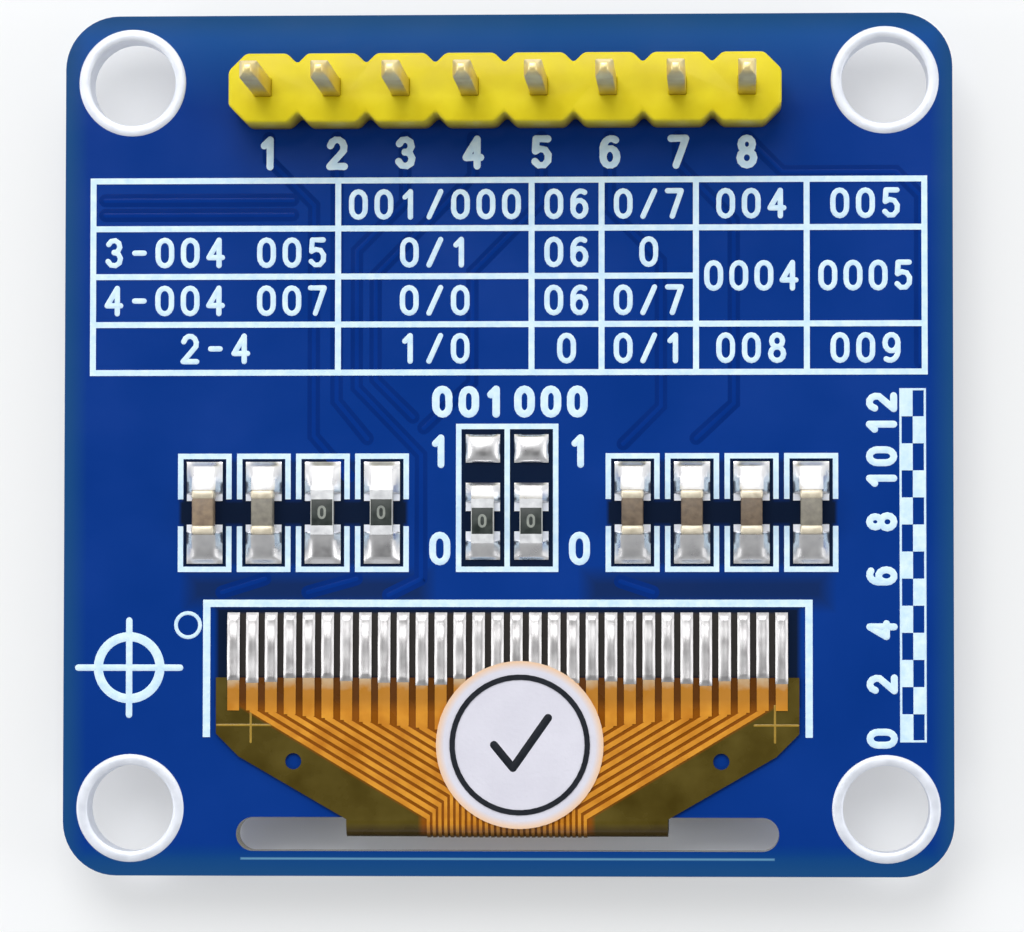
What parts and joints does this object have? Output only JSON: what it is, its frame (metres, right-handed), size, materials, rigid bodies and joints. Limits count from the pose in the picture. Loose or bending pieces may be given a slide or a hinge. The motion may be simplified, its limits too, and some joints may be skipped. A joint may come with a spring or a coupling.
{
  "type": "small oled display module",
  "caption": "Square-cornered display module on a blue board with a pin header, chip row and folded flex tail on its back.",
  "frame": {"origin": "middle of the board's outline, at the level of the display's outer face, on which the module lies", "axes": "+Z away from the display, along the header pins; +Y from the slot edge to the header edge; +X along the pin row"},
  "size_m": [0.033, 0.032, 0.012],
  "materials": {
    "board_blue": "blue solder mask over glass-fibre board, satin, bare tan laminate at the edges",
    "tinned_copper": "hot-tinned copper pads and rings, slightly uneven",
    "solder": "bright solder, smooth and hollow",
    "print_white": "white printed lines, slightly soft at the edges",
    "header_yellow": "moulded yellow plastic, satin",
    "pin_gold": "gold-flashed square pins",
    "ceramic_tan": "fired tan ceramic, matt",
    "alumina_white": "white alumina, matt",
    "resistor_glaze": "dark glass glaze",
    "chip_terminal": "tin-plated end bands, dull",
    "flex_amber": "clear amber polyimide film over dark board, glossy",
    "flex_copper": "copper traces seen through the amber cover film",
    "sticker_white": "pale coated paper, cut edge slightly cream",
    "sticker_ink": "black printing ink",
    "polarizer_black": "near-black polarizer film, glossy",
    "clear_glass": "clear flat glass, cut edges",
    "emitter_metal": "thin metal film",
    "seal_glue": "cured clear glue",
    "drying_white": "white drying sheet",
    "driver_silicon": "bare silicon chip, dark and shiny",
    "tape_black": "black foam tape"
  },
  "bodies": {
    "root": {"board": "board_blue", "hole_plating": "tinned_copper", "pin_hole_plating": "tinned_copper", "printed_lines": "print_white", "header_body": "header_yellow", "header_pin_1": "pin_gold", "header_pin_2": "pin_gold", "header_pin_3": "pin_gold", "header_pin_4": "pin_gold", "header_pin_5": "pin_gold", "header_pin_6": "pin_gold", "header_pin_7": "pin_gold", "header_pin_8": "pin_gold", "header_solder": "solder", "chip_pads": "tinned_copper", "chip_solder": "solder", "capacitor_1_body": "ceramic_tan", "capacitor_1_terminals": "chip_terminal", "capacitor_2_body": "ceramic_tan", "capacitor_2_terminals": "chip_terminal", "capacitor_3_body": "ceramic_tan", "capacitor_3_terminals": "chip_terminal", "capacitor_4_body": "ceramic_tan", "capacitor_4_terminals": "chip_terminal", "capacitor_5_body": "ceramic_tan", "capacitor_5_terminals": "chip_terminal", "capacitor_6_body": "ceramic_tan", "capacitor_6_terminals": "chip_terminal", "resistor_1_body": "alumina_white", "resistor_1_glaze": "resistor_glaze", "resistor_1_terminals": "chip_terminal", "resistor_2_body": "alumina_white", "resistor_2_glaze": "resistor_glaze", "resistor_2_terminals": "chip_terminal", "link_1_body": "alumina_white", "link_1_glaze": "resistor_glaze", "link_1_terminals": "chip_terminal", "link_2_body": "alumina_white", "link_2_glaze": "resistor_glaze", "link_2_terminals": "chip_terminal", "flex_pads": "tinned_copper", "flex_film": "flex_amber", "flex_traces": "flex_copper", "flex_fingers": "tinned_copper", "sticker": "sticker_white", "sticker_print": "sticker_ink", "polarizer": "polarizer_black", "front_glass": "clear_glass", "emitter_layer": "emitter_metal", "glass_seal": "seal_glue", "rear_glass": "clear_glass", "drying_sheet": "drying_white", "driver_chip": "driver_silicon", "display_tape": "tape_black"}
  },
  "joints": []
}
